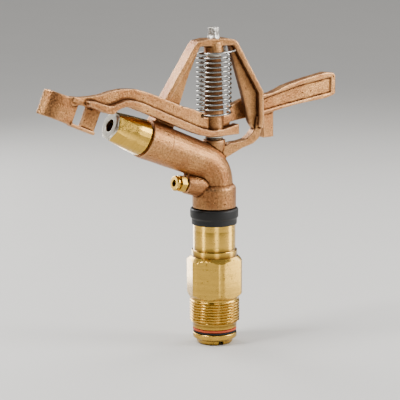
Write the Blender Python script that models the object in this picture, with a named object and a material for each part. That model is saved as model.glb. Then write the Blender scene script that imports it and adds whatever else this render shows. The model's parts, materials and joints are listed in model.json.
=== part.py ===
"""Full-circle impact sprinkler, 3/4 inch male inlet, as an assembly of separate solids.

Frame: metres, +Z up along the axis the head turns on, origin on that axis at the
lowest face of the bearing nipple. The barrel throws towards -X, raised by the
trajectory angle. All dimensions below are in millimetres and degrees; MM turns
them into metres when a mesh is written.
"""

import math

import bmesh
import bpy
from mathutils import Matrix, Vector

MM = 0.001

# ---- driving dimensions: the turned brass inlet -------------------------------------
GAP = 0.3                   # clearance between neighbouring solids
THREAD_R = 13.2             # 3/4 inch pipe thread, outside
THREAD_PITCH = 1.45
THREAD_TURNS = 8
THREAD_Z0 = 12.2            # first full thread
HEX_FLATS = 27.0            # spanner size
HEX_ROUND_R = 14.75         # turned-down corners of the hexagon
HEX_CORNER_DEG = 11.3
HEX_Z0, HEX_Z1 = 24.8, 47.0
SLEEVE_R = 11.15
SLEEVE_TOP = 67.0
SLEEVE_FOOT = 8.6
SLEEVE_BORE_R = 8.0
SPRING_POCKET_R = 9.5
SPRING_POCKET_Z = 48.0
NIPPLE_R = 7.7
NIPPLE_BORE_R = 5.6
NIPPLE_TOP = 85.6
FLANGE_R = 11.7
FLANGE_TOP = 5.8
SLOT_DEG = -103.0
SLOT_W, SLOT_DEPTH = 2.6, 2.1

# ---- driving dimensions: the cast head ----------------------------------------------
COLLAR_R = 11.5
COLLAR_Z0, COLLAR_Z1 = 72.8, 84.6
HOOD_R = 12.7
TRAJECTORY = 22.5           # barrel angle above the horizontal
AXIS_Z = 95.2               # where the barrel's axis meets the turning axis
ELBOW_R = 14.0
NECK_R, BARREL_R = 9.9, 9.5
BARREL_END_R = 10.3         # the barrel swells towards the nozzle
WATERWAY_R = 5.8
BARREL_LEN = 46.8
NOZZLE_TIP = 68.2           # along the barrel's axis
NOZZLE_SEAT_R = 7.5
NOZZLE_BORE_R = 3.25
SPREADER_DEG = 9.0
SPREADER_Z = 84.0           # height where the spreader's axis meets the turning axis
BRIDGE_DEG = 9.0            # the bridge's plane is turned from the barrel's plane
BRIDGE_W = 9.2
RIB_W = 3.6
CRADLE_W = 6.0
BRIDGE_TOP = 161.6
PIN_R = 2.4
PIN_HEAD_R = 3.1
PIN_TOP = 167.4
PIN_FOOT = 102.4
BOSS_TOP = 108.6            # lower seat of the fulcrum pin
TOP_BOSS_Z = 153.7
ANCHOR = (6.5, -0.4, 0.0)   # place of the spring's anchor pin, beside the top boss

# ---- driving dimensions: the drive arm ----------------------------------------------
HUB_Z0, HUB_Z1 = 110.7, 152.3
HUB_BORE_R = 3.3
WEB_T = 3.6
LEDGE_Y = -5.4
WEIGHT_T = 5.2
SPRING_R = 8.9              # arm spring, to the wire's centre
SPRING_WIRE_R = 0.5
SPRING_TURNS = 13
JET_DEG, JET_Z = 23.0, 95.1 # line that the vane and the spoon are set along

TAU = math.tau
SIN_T = math.sin(math.radians(TRAJECTORY))
COS_T = math.cos(math.radians(TRAJECTORY))
SIN_J = math.sin(math.radians(JET_DEG))
COS_J = math.cos(math.radians(JET_DEG))


# ---- helpers --------------------------------------------------------------------------
def material(name, rgb, roughness, metallic):
    """A Principled material in the part's own colour."""
    mat = bpy.data.materials.new(name)
    mat.use_nodes = True
    shader = mat.node_tree.nodes["Principled BSDF"]
    shader.inputs["Base Color"].default_value = (*rgb, 1.0)
    shader.inputs["Roughness"].default_value = roughness
    shader.inputs["Metallic"].default_value = metallic
    mat.diffuse_color = (*rgb, 1.0)
    return mat


def solid(name, verts, faces, mat=None, matrix=None):
    """A mesh object from points in millimetres, with outward faces and smooth shading."""
    mesh = bpy.data.meshes.new(name)
    bm = bmesh.new()
    points = [bm.verts.new(Vector(p) * MM) for p in verts]
    for face in faces:
        bm.faces.new([points[i] for i in face])
    bmesh.ops.recalc_face_normals(bm, faces=bm.faces)
    bm.to_mesh(mesh)
    bm.free()
    if matrix is not None:
        mesh.transform(matrix)
    mesh.shade_smooth()
    mesh.set_sharp_from_angle(angle=math.radians(35))
    obj = bpy.data.objects.new(name, mesh)
    if mat is not None:
        mesh.materials.append(mat)
    bpy.context.collection.objects.link(obj)
    return obj


def loft(name, sections, mat=None, matrix=None, ring=False):
    """Skins equal-length closed sections; the ends are capped, or joined in a ring."""
    count = len(sections[0])
    verts = [p for section in sections for p in section]
    faces = []
    last = len(sections) if ring else len(sections) - 1
    for i in range(last):
        a = i * count
        b = ((i + 1) % len(sections)) * count
        for j in range(count):
            k = (j + 1) % count
            faces.append((a + j, a + k, b + k, b + j))
    if not ring:
        faces.append(tuple(reversed(range(count))))
        faces.append(tuple(range((len(sections) - 1) * count, len(sections) * count)))
    return solid(name, verts, faces, mat, matrix)


def turned(name, profile, mat=None, matrix=None, steps=28):
    """Turns a closed (radius, z) outline about Z; radii stay above zero."""
    sections = []
    for i in range(steps):
        a = TAU * i / steps
        sections.append([(r * math.cos(a), r * math.sin(a), z) for r, z in profile])
    return loft(name, sections, mat, matrix, ring=True)


def rod(name, levels, mat=None, matrix=None, steps=24):
    """A solid round bar through (radius, z) levels, bottom to top."""
    sections = []
    for r, z in levels:
        ring = [(r * math.cos(TAU * i / steps), r * math.sin(TAU * i / steps), z) for i in range(steps)]
        sections.append(ring)
    return loft(name, sections, mat, matrix)


def plate(name, outline, y0, y1, mat=None, matrix=None):
    """An (x, z) outline with thickness from y0 to y1."""
    near = [(x, y0, z) for x, z in outline]
    far = [(x, y1, z) for x, z in outline]
    return loft(name, [near, far], mat, matrix)


def hexagon_prism(name, flats, z0, z1, corner_deg, matrix=None, mat=None):
    """A hexagonal bar given by its width across flats."""
    r = flats / 2 / math.cos(math.pi / 6)
    start = math.radians(corner_deg)
    ring = [(r * math.cos(start + TAU * i / 6), r * math.sin(start + TAU * i / 6)) for i in range(6)]
    return loft(name, [[(x, y, z) for x, y in ring] for z in (z0, z1)], mat, matrix)


def tube_path(name, path, radius, sides, mat=None):
    """A round wire along a list of points, with flat capped ends."""
    points = [Vector(p) for p in path]
    sections = []
    side = Vector((0, 0, 1))
    for i, p in enumerate(points):
        along = (points[min(i + 1, len(points) - 1)] - points[max(i - 1, 0)]).normalized()
        across = (side - along * side.dot(along)).normalized()
        other = along.cross(across)
        ring = []
        for k in range(sides):
            a = TAU * k / sides
            ring.append(tuple(p + (across * math.cos(a) + other * math.sin(a)) * radius))
        sections.append(ring)
        side = across
    return loft(name, sections, mat)


def smooth(points, steps):
    """Catmull-Rom points through a list of equal-length tuples."""
    out = []
    for i in range(len(points) - 1):
        p0 = points[max(i - 1, 0)]
        p1, p2 = points[i], points[i + 1]
        p3 = points[min(i + 2, len(points) - 1)]
        for s in range(steps):
            t = s / steps
            out.append(tuple(
                0.5 * (2 * b + (c - a) * t + (2 * a - 5 * b + 4 * c - d) * t * t
                       + (3 * b - a - 3 * c + d) * t ** 3)
                for a, b, c, d in zip(p0, p1, p2, p3)))
    out.append(tuple(points[-1]))
    return out


def boolean(target, tool, operation):
    """Adds a Boolean modifier; the tool stays as a hidden wire guide."""
    tool.hide_render = True
    tool.display_type = "WIRE"
    mod = target.modifiers.new(operation.title(), "BOOLEAN")
    mod.operation = operation
    mod.solver = "EXACT"
    mod.object = tool


def join(target, tools):
    for tool in tools:
        boolean(target, tool, "UNION")


def cut(target, tools):
    for tool in tools:
        boolean(target, tool, "DIFFERENCE")


def along_axis(degrees, foot_z):
    """Local +Z becomes a line towards -X raised by degrees, from the turning axis."""
    turn = Matrix.Rotation(math.radians(degrees - 90), 4, "Y")
    return Matrix.Translation((0, 0, foot_z * MM)) @ turn


BARREL = along_axis(TRAJECTORY, AXIS_Z)
SPREADER = along_axis(SPREADER_DEG, SPREADER_Z)
BRIDGE = Matrix.Rotation(math.radians(-BRIDGE_DEG), 4, "Z")

BRONZE = material("cast_bronze", (0.52, 0.27, 0.14), 0.45, 0.9)
BRASS = material("turned_brass", (0.70, 0.48, 0.20), 0.28, 1.0)
STEEL = material("stainless_steel", (0.62, 0.62, 0.60), 0.25, 1.0)
BLACK = material("black_plastic", (0.02, 0.018, 0.018), 0.5, 0.0)
RUBBER = material("black_rubber", (0.02, 0.02, 0.02), 0.7, 0.0)
FIBRE = material("red_fibre", (0.65, 0.14, 0.06), 0.6, 0.0)
PTFE = material("white_ptfe", (0.8, 0.8, 0.78), 0.4, 0.0)
ACETAL = material("natural_acetal", (0.7, 0.68, 0.6), 0.45, 0.0)


# ---- inlet and bearing --------------------------------------------------------------
def bearing_sleeve():
    """Brass inlet: male thread, hexagon and the long neck with the spring's pocket."""
    outline = [(9.0, SLEEVE_FOOT), (FLANGE_R - 0.2, SLEEVE_FOOT), (FLANGE_R, SLEEVE_FOOT + 0.3)]
    outline += [(FLANGE_R, 10.9), (THREAD_R - 0.9, 11.7)]
    for i in range(THREAD_TURNS):
        z = THREAD_Z0 + i * THREAD_PITCH
        outline += [(THREAD_R, z + 0.25), (THREAD_R, z + 0.75), (THREAD_R - 0.7, z + 1.2)]
    outline += [(THREAD_R - 0.4, HEX_Z0 - 0.3), (THREAD_R - 0.4, HEX_Z0 + 2)]
    outline += [(12.0, HEX_Z1 - 2), (12.0, 50.2), (SLEEVE_R, 50.5), (SLEEVE_R, SLEEVE_TOP)]
    outline += [(SPRING_POCKET_R, SLEEVE_TOP), (SPRING_POCKET_R, SPRING_POCKET_Z)]
    outline += [(SLEEVE_BORE_R, SPRING_POCKET_Z), (SLEEVE_BORE_R, SLEEVE_FOOT + 1), (9.0, SLEEVE_FOOT + 1)]
    sleeve = turned("bearing_sleeve", outline, BRASS)
    nut = hexagon_prism("sleeve_hexagon", HEX_FLATS, HEX_Z0, HEX_Z1, HEX_CORNER_DEG)
    rounded = rod("sleeve_hexagon_turning", [
        (12.3, HEX_Z0 - 1), (13.1, HEX_Z0), (HEX_ROUND_R, HEX_Z0 + 2.2),
        (HEX_ROUND_R, HEX_Z1 - 2.2), (12.3, HEX_Z1), (12.0, HEX_Z1 + 1)], steps=36)
    boolean(nut, rounded, "INTERSECT")
    core = rod("sleeve_hexagon_bore", [(11.6, HEX_Z0 - 2), (11.6, HEX_Z1 + 2)])
    cut(nut, [core])
    join(sleeve, [nut])
    return sleeve


def bearing_nipple():
    """Brass tube that the head screws on; its slotted flange carries the washers."""
    nipple = turned("bearing_nipple", [
        (NIPPLE_BORE_R, 0), (9.2, 0), (9.7, 1.9), (11.5, 3.1), (FLANGE_R, 3.4), (FLANGE_R, FLANGE_TOP),
        (NIPPLE_R, FLANGE_TOP), (NIPPLE_R, NIPPLE_TOP - 0.6), (NIPPLE_R - 0.6, NIPPLE_TOP),
        (NIPPLE_BORE_R, NIPPLE_TOP)], BRASS)
    turn = Matrix.Rotation(math.radians(SLOT_DEG), 4, "Z")
    half = SLOT_W / 2
    slot = plate("nipple_slot", [(-14, -1), (14, -1), (14, SLOT_DEPTH), (-14, SLOT_DEPTH)],
                 -half, half, matrix=turn)
    cut(nipple, [slot])
    return nipple


def washer(name, inner, outer, z0, z1, mat):
    """A flat ring between two heights."""
    return turned(name, [(inner, z0), (outer, z0), (outer, z1), (inner, z1)], mat, steps=24)


def bearing_washers():
    """Three lower washers, the spring's two seats and the seal under the hood."""
    bore = NIPPLE_R + GAP
    washer("washer_rubber", bore, 11.4, FLANGE_TOP + GAP, 7.0, RUBBER)
    washer("washer_fibre", bore, 11.6, 7.0 + GAP, SLEEVE_FOOT - GAP, FIBRE)
    washer("washer_ptfe", bore - 0.02, 8.7, SLEEVE_FOOT, SLEEVE_FOOT + 0.7, PTFE)
    washer("spring_seat_lower", bore, 9.2, SPRING_POCKET_Z + GAP, 49.0, STEEL)
    washer("spring_seat_upper", bore, 10.8, 69.0, 69.7, STEEL)
    washer("hood_seal", bore, 10.8, 70.0, 71.0, RUBBER)


def bearing_spring():
    """Compression spring that lifts the head against the lower washers."""
    z0, z1 = 49.9, 68.1
    turns, per_turn = 5, 12
    path = []
    for i in range(turns * per_turn + 1):
        a = TAU * i / per_turn
        share = i / (turns * per_turn)
        path.append((8.62 * math.cos(a), 8.62 * math.sin(a), z0 + (z1 - z0) * share))
    return tube_path("bearing_spring", path, 0.5, 4, STEEL)


def protective_hood():
    """Black cap that keeps sand out of the bearing."""
    inner = SLEEVE_R + GAP
    return turned("protective_hood", [
        (inner, 64.1), (11.9, 64.1), (11.95, 66.9), (12.2, 67.3), (HOOD_R, 67.9), (HOOD_R, 72.0),
        (HOOD_R - 0.4, 72.5), (8.1, 72.5), (8.1, 71.3), (inner, 71.3)], BLACK)


# ---- cast head ------------------------------------------------------------------------
def elbow_sections(neck_r, barrel_r, end_r, first_z, length, steps=24):
    """Round sections up the neck, round the elbow and out along the barrel."""
    bend = math.radians(90 - TRAJECTORY)
    tangent = ELBOW_R * math.tan(bend / 2)
    start = AXIS_Z - tangent
    line = [((0, first_z), 0.0)]
    arc_steps = 9
    for i in range(arc_steps + 1):
        a = bend * i / arc_steps
        line.append(((-ELBOW_R + ELBOW_R * math.cos(a), start + ELBOW_R * math.sin(a)), a))
    line.append(((-length * COS_T, AXIS_Z + length * SIN_T), bend))
    sections = []
    for i, ((x, z), a) in enumerate(line):
        r = neck_r + (barrel_r - neck_r) * i / (len(line) - 2)
        if i == len(line) - 1:
            r = end_r
        ring = []
        for k in range(steps):
            t = TAU * k / steps
            across = r * math.cos(t)
            ring.append((x + across * math.cos(a), r * math.sin(t), z + across * math.sin(a)))
        sections.append(ring)
    return sections


def bridge_strap():
    """Outer strap of the bridge, from the barrel's end up and over to the right leg."""
    outer = [(-38.0, 116.0), (-35.2, 121.8), (-28.7, 133.0), (-12.4, 159.0), (-10.6, 160.7)]
    outer += [(-6, BRIDGE_TOP), (6, BRIDGE_TOP), (10.6, 160.6), (12.2, 158.8), (26.6, 132.8)]
    outer += [(26.9, 119.0), (26.3, 113.2)]
    inner = [(23.8, 114.4), (24.2, 120.0), (23.9, 132.2), (9.6, 157.8), (-9.6, 157.8)]
    inner += [(-26.2, 131.8), (-33.2, 119.6), (-34.5, 113.0)]
    return plate("bridge_strap", outer + inner, -BRIDGE_W / 2, BRIDGE_W / 2, matrix=BRIDGE)


def bridge_cradle():
    """Curved strut that carries the right leg from the elbow's back."""
    outer = [(26.6, 119.0), (26.0, 112.0), (24.6, 107.9), (21.4, 105.4), (15.0, 103.4), (5.0, 98.5)]
    inner = [(3.0, 104.0), (8.3, 106.6), (13.0, 107.0), (17.0, 107.9), (20.2, 110.4), (22.6, 113.4)]
    inner += [(23.4, 119.5)]
    return plate("bridge_cradle", outer + inner, -CRADLE_W / 2, CRADLE_W / 2, matrix=BRIDGE)


def bridge_ribs():
    """Inner ribs that make each leg a T in section."""
    left = [(-10.8, 159.0), (-8.0, 158.2), (-9.9, 154.0), (-14.8, 143.3), (-19.9, 128.7)]
    left += [(-24.5, 113.0), (-37.0, 115.5), (-34.0, 121.5), (-27.7, 132.8)]
    right = [(8.0, 158.2), (10.8, 159.0), (25.4, 132.4), (25.6, 119.4), (25.0, 112.5)]
    right += [(22.8, 112.2), (20.8, 114.2), (19.2, 117.2), (15.2, 133.3), (10.4, 149.5)]
    half = RIB_W / 2
    return [plate("rib_left", left, -half, half, matrix=BRIDGE),
            plate("rib_right", right, -half, half, matrix=BRIDGE)]


def sprinkler_body():
    """One bronze casting: collar, elbow, barrel, bridge, cradle and pin bosses."""
    body = loft("sprinkler_body", elbow_sections(
        NECK_R, BARREL_R, BARREL_END_R, COLLAR_Z1 - 3, BARREL_LEN, 28), BRONZE)
    collar = rod("collar", [
        (COLLAR_R - 0.3, COLLAR_Z0), (COLLAR_R, COLLAR_Z0 + 0.4), (COLLAR_R, COLLAR_Z1 - 1.2),
        (COLLAR_R - 0.5, COLLAR_Z1 - 0.3), (NECK_R - 0.1, COLLAR_Z1 + 0.6)], steps=32)
    pin_boss = rod("pin_boss", [(2.8, 96.0), (3.6, 99.5), (6.0, 106.6), (6.0, BOSS_TOP)])
    top_boss = rod("top_boss", [(5.1, TOP_BOSS_Z), (5.1, BRIDGE_TOP - 2)])
    spreader_boss = rod("spreader_boss", [(7.0, 4.0), (6.0, 12.0), (5.0, 18.6)], matrix=SPREADER)
    web = plate("spreader_web", [(-18.0, 96.5), (-17.4, 89.6), (-8.0, 86.0), (-8.0, 97.0)], -2.4, 2.4)
    join(body, [collar, pin_boss, top_boss, spreader_boss, web])
    join(body, [bridge_strap(), bridge_cradle()] + bridge_ribs())
    waterway = loft("waterway", elbow_sections(
        WATERWAY_R, WATERWAY_R, WATERWAY_R, COLLAR_Z1 - 4, BARREL_LEN + 5, 20))
    socket = rod("nipple_socket", [(NIPPLE_R + GAP, COLLAR_Z0 - 2), (NIPPLE_R + GAP, NIPPLE_TOP + GAP)])
    seat = rod("nozzle_socket", [(NOZZLE_SEAT_R, 36.0), (NOZZLE_SEAT_R, BARREL_LEN + 4)], matrix=BARREL)
    side_way = rod("spreader_way", [(2.9, 2.0), (2.9, 22.0)], matrix=SPREADER, steps=16)
    pin_hole = rod("pin_hole", [(PIN_R + GAP, PIN_FOOT - GAP), (PIN_R + GAP, BOSS_TOP + 2)], steps=20)
    head_r, shank_r = PIN_HEAD_R + GAP, PIN_R + GAP
    head_hole = rod("pin_head_hole", [(head_r, TOP_BOSS_Z + 1.5), (head_r, BRIDGE_TOP + 2)], steps=20)
    shank_hole = rod("pin_shank_hole", [(shank_r, TOP_BOSS_Z - 2), (shank_r, TOP_BOSS_Z + 3)], steps=20)
    place = Matrix.Translation(Vector(ANCHOR) * MM)
    anchor_hole = rod("anchor_hole", [(0.9, 154.0), (0.9, 159.6)], matrix=place, steps=12)
    cut(body, [waterway, socket, seat, side_way, pin_hole, head_hole, shank_hole, anchor_hole])
    return body


def fulcrum_pin():
    """Stainless pin the arm turns on; its head stands above the bridge."""
    head = TOP_BOSS_Z + 1.8
    return rod("fulcrum_pin", [
        (PIN_R - 0.5, PIN_FOOT), (PIN_R, PIN_FOOT + 0.6), (PIN_R, head), (PIN_HEAD_R, head),
        (PIN_HEAD_R, BRIDGE_TOP + 0.6), (PIN_HEAD_R - 0.2, PIN_TOP - 0.5),
        (PIN_HEAD_R - 0.6, PIN_TOP)], STEEL)


def spring_anchor_pin():
    """Small post under the bridge that holds the arm spring's upper end."""
    place = Matrix.Translation(Vector(ANCHOR) * MM)
    return rod("spring_anchor_pin", [(0.6, 153.4), (0.6, 159.3)], STEEL, place, steps=12)


# ---- nozzles ----------------------------------------------------------------------------
def flatted_ring(round_r, flat_r, z, steps):
    """A circle with six flats at flat_r from its centre; they vanish where flat_r is larger."""
    ring = []
    for k in range(steps):
        a = TAU * k / steps
        off = (a + math.radians(30)) % math.radians(60) - math.radians(30)
        r = min(round_r, flat_r / math.cos(off))
        ring.append((r * math.cos(a), r * math.sin(a), z))
    return ring


def round_rings(levels, steps):
    """Plain circles through (radius, z) levels."""
    return [flatted_ring(r, 2 * r, z, steps) for r, z in levels]


def range_nozzle():
    """Main nozzle: a taper with six milled flats that run out towards its base."""
    base, steps, levels = BARREL_LEN + 0.9, 36, 5
    shank = NOZZLE_SEAT_R - GAP
    sections = round_rings([(5.0, 38.0), (shank, 38.0), (shank, base), (9.0, base)], steps)
    for i in range(levels):
        t = i / (levels - 1)
        z = base + 0.6 + (NOZZLE_TIP - 1.0 - base - 0.6) * t
        sections.append(flatted_ring(9.5 - 1.8 * t, 9.9 - 3.0 * t, z, steps))
    bore = NOZZLE_BORE_R
    sections += round_rings([(6.2, NOZZLE_TIP), (bore, NOZZLE_TIP), (bore, NOZZLE_TIP - 6)], steps)
    return loft("range_nozzle", sections, BRASS, BARREL, ring=True)


def spreader_nozzle():
    """Small side nozzle with its own hexagon."""
    steps = 24
    sections = round_rings([(1.7, 9.0), (2.6, 9.0), (2.6, 19.0)], steps)
    sections += [flatted_ring(4.0, 4.0, 19.0, steps), flatted_ring(4.5, 4.0, 19.4, steps)]
    sections += [flatted_ring(4.5, 4.0, 22.2, steps), flatted_ring(4.0, 4.0, 22.6, steps)]
    sections += round_rings([
        (2.9, 22.7), (2.9, 23.2), (3.9, 23.6), (4.0, 24.7), (3.6, 25.2), (1.7, 25.2)], steps)
    return loft("spreader_nozzle", sections, BRASS, SPREADER, ring=True)


def stream_straightener():
    """Cross of thin vanes in the barrel that calms the water before the nozzle."""
    half, reach = 0.45, WATERWAY_R - GAP
    corners = [(half, half), (half, reach), (-half, reach), (-half, half)]
    corners += [(-reach, half), (-reach, -half), (-half, -half), (-half, -reach)]
    corners += [(half, -reach), (half, -half), (reach, -half), (reach, half)]
    sections = [[(x, y, z) for x, y in corners] for z in (18.0, 34.0)]
    return loft("stream_straightener", sections, ACETAL, BARREL)


# ---- drive arm --------------------------------------------------------------------------
def arm_bend(x):
    """Sideways run of the arm: it passes before the left leg and behind the right one."""
    if x < 0:
        return -3.8 * math.tanh(-x / 38)
    return 6.5 * math.tanh(x / 45)


def arm_strip(name, stations, y0, y1, steps=2):
    """A bar along the arm through (x, bottom z, top z) stations, bent sideways with it."""
    sections = []
    for x, z0, z1 in smooth(stations, steps):
        y = arm_bend(x)
        sections.append([(x, y + y0, z0), (x, y + y1, z0), (x, y + y1, z1), (x, y + y0, z1)])
    return loft(name, sections)


def jet_strip(name, stations, v0, v1, thick, steps=3):
    """A plate along the jet through (distance, y) stations, between heights v0 and v1."""
    sections = []
    for u, y in smooth(stations, steps):
        ring = []
        for v, side in ((v0, -1), (v0, 1), (v1, 1), (v1, -1)):
            x = -u * COS_J + v * SIN_J
            ring.append((x, y + side * thick / 2, JET_Z + u * SIN_J + v * COS_J))
        sections.append(ring)
    return loft(name, sections)


UNDERSIDE = [(-80.6, 133.6), (-72.2, 129.8), (-68.2, 128.3), (-65.3, 127.9), (-63.2, 129.5), (-61.2, 130.4),
             (-58.4, 131.0), (-55.4, 130.8), (-51.5, 129.0), (-44.6, 126.2), (-30.9, 120.2), (-21.3, 116.1),
             (-12.7, 112.6), (-8.0, 111.3), (-1.2, HUB_Z0), (6.0, HUB_Z0), (13.6, HUB_Z0)]


def underside(x):
    """Height of the arm's lower edge at x."""
    for (x0, z0), (x1, z1) in zip(UNDERSIDE, UNDERSIDE[1:]):
        if x0 <= x <= x1:
            return z0 + (z1 - z0) * (x - x0) / (x1 - x0)
    return UNDERSIDE[0][1] if x < UNDERSIDE[0][0] else UNDERSIDE[-1][1]


def with_underside(points):
    """Stations from (x, top z) points, each with the arm's lower edge as its bottom."""
    return [(x, underside(x), z) for x, z in points]


def drive_arm():
    """Bronze arm: hub, web, ledge, spoon, counterweight and striker lug."""
    half = WEB_T / 2
    arm = arm_strip("drive_arm", with_underside([
        (-88.0, 138.4), (-82.9, 137.6), (-77.3, 137.5), (-71.3, 137.9), (-68.2, 138.6), (-65.3, 139.2),
        (-63.2, 139.5), (-61.2, 139.7), (-58.4, 139.8), (-55.2, 139.7), (-49.8, 139.1), (-44.9, 137.6),
        (-36.8, 134.6), (-30.5, 131.9), (-22.2, 128.4), (-15.0, 126.2), (-9.9, 124.1), (-7.4, 123.6)]),
        -half, half, steps=1)
    arm.data.materials.append(BRONZE)
    middle = arm_strip("arm_middle", [
        (-8.0, 112.5, 121.0), (0.0, 112.0, 121.0), (9.8, 114.0, 121.0)], -half, half, 1)
    right = arm_strip("arm_right", [
        (9.7, 117.0, 125.4), (17.9, 117.8, 128.2), (26.0, 118.4, 129.4), (32.1, 119.0, 129.6)],
        -half, half)
    stem = arm_strip("arm_stem", [(0.0, 116.4, 121.0), (9.8, 117.0, 121.0)], -half, half, 1)
    ledge = arm_strip("arm_ledge", with_underside_of_ledge(), LEDGE_Y, 0.0, steps=1)
    lug = arm_strip("striker_lug", [(32.8, 106.4, 121.5), (39.8, 106.4, 121.5)], -2.1, 2.1, 1)
    hub = rod("arm_hub", [
        (4.9, HUB_Z0), (4.9, 121.5), (5.2, 122.0), (4.9, 126.0), (3.95, 148.0), (3.95, HUB_Z1)])
    join(arm, [middle, stem, right, ledge, lug, hub, counterweight()] + spoon())
    bore = rod("hub_bore", [(HUB_BORE_R, HUB_Z0 - 3), (HUB_BORE_R, HUB_Z1 + 3)], steps=20)
    hook = Matrix.Translation((-8.6 * MM, 0, 121.9 * MM)) @ Matrix.Rotation(math.radians(90), 4, "X")
    hook_hole = rod("hook_hole", [(1.0, -6.0), (1.0, 6.0)], matrix=hook, steps=12)
    cut(arm, [bore, hook_hole])
    return arm


def with_underside_of_ledge():
    """Stations of the ledge that runs along the foot of the web."""
    tops = [(-79.5, 135.6), (-76.4, 135.4), (-71.5, 133.6), (-68.2, 132.4), (-65.3, 132.2), (-63.2, 132.8),
            (-61.2, 133.3), (-58.4, 134.2), (-55.4, 134.3), (-51.5, 133.5), (-47.0, 131.8), (-37.2, 127.4),
            (-27.0, 122.9), (-18.1, 119.0), (-11.4, 116.1), (-4.6, 114.2), (2.0, 114.1), (13.6, 116.2)]
    return with_underside(tops)


def counterweight():
    """Flat bar at the arm's right end with a shallow sunk panel on both faces."""
    bar = arm_strip("counterweight", [
        (30.6, 118.8, 129.4), (38.5, 119.8, 130.0), (42.5, 120.4, 131.2), (47.2, 121.3, 133.0),
        (57.0, 122.6, 135.2), (66.0, 123.4, 136.8), (75.5, 124.3, 138.3), (80.4, 125.6, 137.8),
        (81.8, 126.5, 136.2)], -WEIGHT_T / 2, WEIGHT_T / 2, 1)
    recess = [(32.4, 120.8, 127.5), (46.0, 122.8, 130.3), (57.0, 124.2, 132.7), (78.8, 127.1, 135.6)]
    for name, y0, y1 in (("panel_near", -4.0, -1.9), ("panel_far", 1.9, 4.0)):
        cut(bar, [arm_strip(name, recess, y0, y1, 1)])
    return bar


def spoon():
    """Vane, window and curved spoon, lined up with the jet."""
    vane = jet_strip("vane", [(75.2, 1.4), (80.4, 0.0), (85.9, -2.0)], -7.6, 5.0, 2.0)
    foot = jet_strip("spoon_foot", [(76.7, -1.4), (84.0, -2.0), (92.5, -3.2)], -8.3, -6.6, 4.6)
    head = jet_strip("spoon_head", [(84.0, -2.6), (88.0, -3.2), (96.0, -3.6)], 3.6, 5.9, 4.6)
    cup = jet_strip("spoon_cup", [
        (91.5, -3.6), (96.5, -4.3), (101.0, -4.4), (105.0, -3.4), (107.9, -1.2), (109.1, 1.9)],
        -7.9, 5.1, 2.2)
    return [vane, foot, head, cup]


def arm_bushings():
    """Bushings at both ends of the hub and the washer under it."""
    shank, bore = HUB_BORE_R - GAP, PIN_R + 0.15
    turned("arm_bushing_lower", [
        (bore, 110.0), (4.6, 110.0), (4.6, 110.4), (shank, 110.4), (shank, 118.0), (bore, 118.0)],
        ACETAL, steps=20)
    turned("arm_bushing_upper", [
        (bore, 145.0), (shank, 145.0), (shank, 152.6), (3.9, 152.6), (3.9, 153.3), (bore, 153.3)],
        ACETAL, steps=20)
    washer("arm_thrust_washer", PIN_R + GAP, 4.7, BOSS_TOP + GAP, 109.6, STEEL)


def arm_spring():
    """Torsion spring round the hub: hooked in the web below, against its pin above."""
    per_turn = 12
    path = []
    total = SPRING_TURNS * per_turn
    for i in range(total + 1):
        turn = i / per_turn
        a = math.pi + TAU * turn
        z = 121.9 + 2.9 * min(turn, 1.3) + 2.42 * max(turn - 1.3, 0.0)
        path.append((SPRING_R * math.cos(a), SPRING_R * math.sin(a), z))
    last = path[-1]
    path.append((last[0] + 2.0, last[1] - 3.2, last[2] + 0.5))
    path.append((last[0] + 5.4, last[1] - 5.6, last[2] + 0.9))
    return tube_path("arm_spring", path, SPRING_WIRE_R, 4, STEEL)


def main():
    for obj in list(bpy.data.objects):
        bpy.data.objects.remove(obj)
    bearing_sleeve()
    bearing_nipple()
    bearing_washers()
    bearing_spring()
    protective_hood()
    sprinkler_body()
    range_nozzle()
    spreader_nozzle()
    stream_straightener()
    fulcrum_pin()
    spring_anchor_pin()
    drive_arm()
    arm_bushings()
    arm_spring()


main()
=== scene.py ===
"""Looks of a full-circle impact sprinkler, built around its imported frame.

Everything is in metres in the frame's own axes: +Z up along the axis the head turns on,
the barrel towards -X. Sizes below are in millimetres, and MM turns them into metres.
"""

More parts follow.
